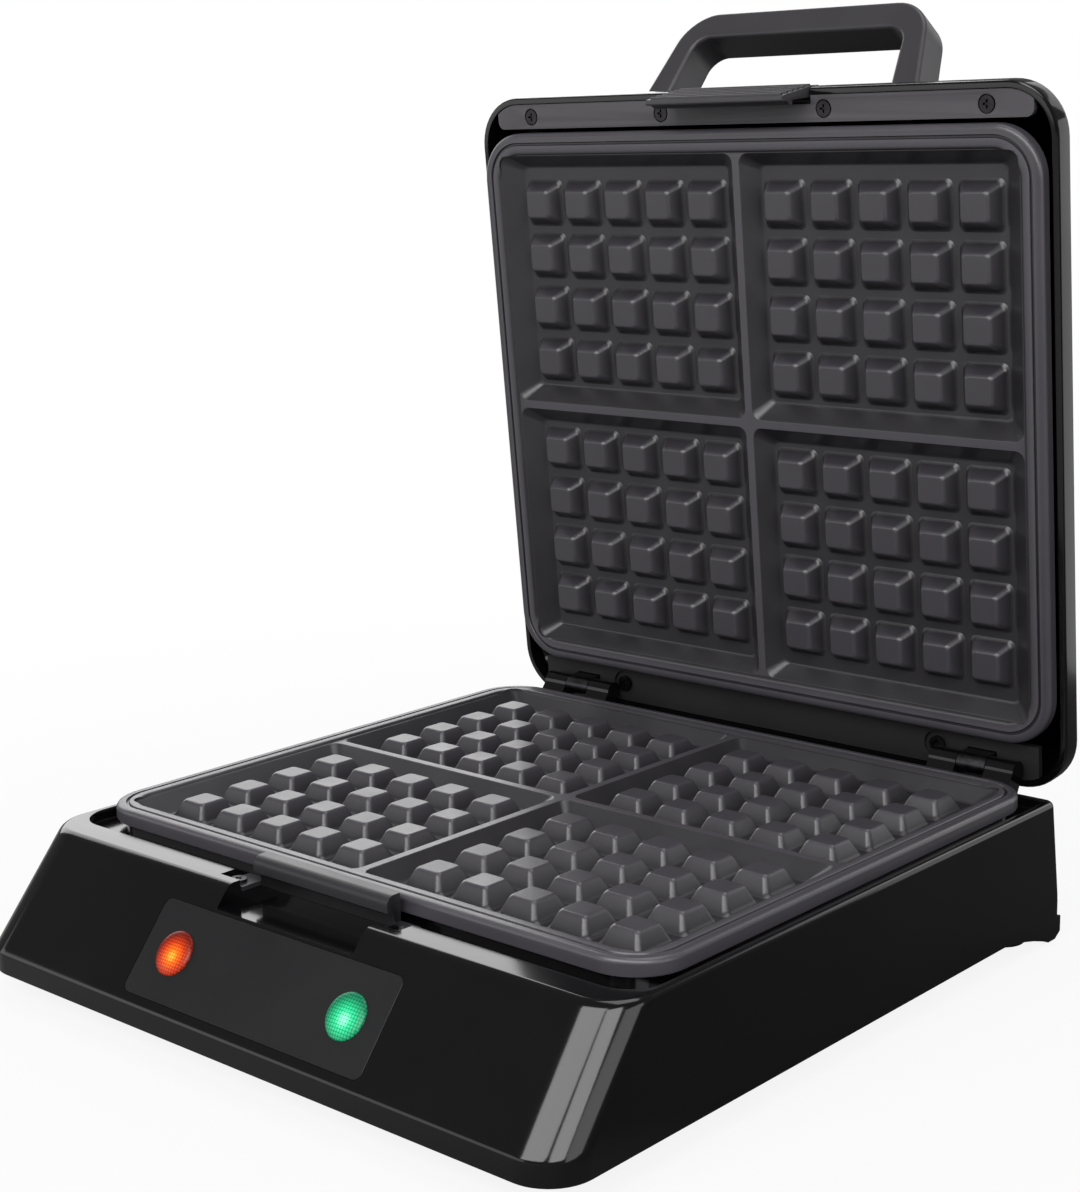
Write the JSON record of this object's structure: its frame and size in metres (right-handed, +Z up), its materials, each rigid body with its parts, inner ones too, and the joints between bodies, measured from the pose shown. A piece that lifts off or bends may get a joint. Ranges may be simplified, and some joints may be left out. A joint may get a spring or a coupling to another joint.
{
  "type": "waffle maker",
  "caption": "Electric waffle maker with a hinged lid, pegged baking plates, a loop handle, a front latch and a sloping panel with indicator lamps.",
  "frame": {"origin": "on the table, under the middle of the machine with its lid open", "axes": "+X to the right as the user faces the panel, +Y to the back, +Z up"},
  "size_m": [0.2746, 0.3316, 0.3421],
  "materials": {
    "gloss_black": "polished black moulding",
    "matt_black": "fine matt moulding",
    "charcoal": "satin charcoal moulding",
    "rubber": "matt",
    "steel": "plated",
    "orange_lens": "clear tinted",
    "green_lens": "clear tinted",
    "pale_plastic": "plain",
    "bulb_glass": "clear",
    "coated_plate": "cast, with a dark non-stick coating",
    "element_sheath": "dull",
    "sheet_metal": "mill"
  },
  "bodies": {
    "base": {"base_housing": "gloss_black", "bottom_cover": "matt_black", "front_feet": "rubber", "rear_feet": "rubber", "cover_screws": "steel", "control_panel": "charcoal", "power_lens": "orange_lens", "ready_lens": "green_lens", "lamp_holders": "pale_plastic", "lamp_bulbs": "bulb_glass", "latch_catch": "charcoal", "catch_screws": "steel", "lower_plate": "coated_plate", "lower_element": "element_sheath", "lower_shield": "sheet_metal", "lower_plate_screws": "steel", "thermostat": "pale_plastic", "thermal_fuse": "pale_plastic", "terminal_block": "pale_plastic", "cord_bush": "rubber", "hinge_pins": "steel"},
    "lid": {"lid_shell": "gloss_black", "lid_trim": "charcoal", "rear_trim": "matt_black", "trim_screws": "steel", "hinge_arms": "element_sheath", "hinge_screws": "steel", "handle": "charcoal", "handle_screws": "steel", "upper_plate": "coated_plate", "upper_element": "element_sheath", "upper_shield": "sheet_metal", "upper_plate_screws": "steel", "latch_pin": "steel"},
    "latch": {"latch_clip": "charcoal"}
  },
  "joints": [
    {"name": "lid_hinge", "type": "hinge", "parent": "base", "child": "lid", "pos_m": [0, 0.12088, 0.0591], "axis": [-1, 0, 0], "range_deg": [-84.7, 0]},
    {"name": "latch_pivot", "type": "hinge", "parent": "lid", "child": "latch", "pos_m": [0, 0.11094, 0.30594], "axis": [-1, 0, 0], "range_deg": [-4, 12]}
  ]
}
